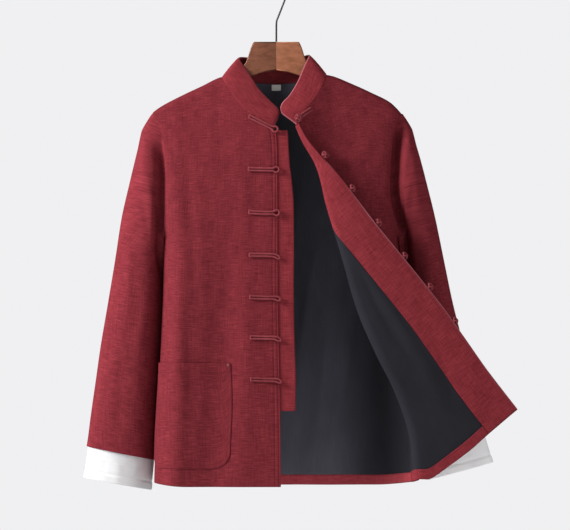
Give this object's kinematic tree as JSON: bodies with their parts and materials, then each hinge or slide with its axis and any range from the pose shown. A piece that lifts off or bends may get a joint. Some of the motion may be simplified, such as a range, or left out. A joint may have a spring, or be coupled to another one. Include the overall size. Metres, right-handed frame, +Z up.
{
  "type": "tang jacket on a hanger",
  "caption": "Stand-collar tang jacket with frog fastenings on a flat wooden hanger, its left front turned back over the sleeve to show the dark lining.",
  "frame": {"origin": "the top of the inside of the hanger's hook, where it rests on a rail", "axes": "+Z up, -Y out of the jacket's front, +X towards the wearer's left"},
  "size_m": [0.738, 0.1659, 0.8852],
  "materials": {
    "red_cloth": "matte",
    "dark_lining": "matte",
    "white_cotton": "matte",
    "brown_wood": "satin",
    "black_wire": "satin"
  },
  "bodies": {
    "root": {"back": "red_cloth", "collar": "red_cloth", "cuff_left": "white_cotton", "cuff_right": "white_cotton", "facing_left": "red_cloth", "front_left": "red_cloth", "front_right": "red_cloth", "hanger_hook": "black_wire", "hanger_left": "brown_wood", "hanger_right": "brown_wood", "hem_back": "red_cloth", "hem_front_left": "red_cloth", "knot_1": "red_cloth", "knot_2": "red_cloth", "knot_3": "red_cloth", "knot_4": "red_cloth", "knot_5": "red_cloth", "knot_6": "red_cloth", "knot_collar": "red_cloth", "label": "white_cotton", "lining_back": "dark_lining", "lining_front_left": "dark_lining", "loop_1": "red_cloth", "loop_2": "red_cloth", "loop_3": "red_cloth", "loop_4": "red_cloth", "loop_5": "red_cloth", "loop_6": "red_cloth", "loop_collar": "red_cloth", "pocket_right": "red_cloth", "sleeve_left": "red_cloth", "sleeve_right": "red_cloth", "underlap": "red_cloth"}
  },
  "joints": []
}
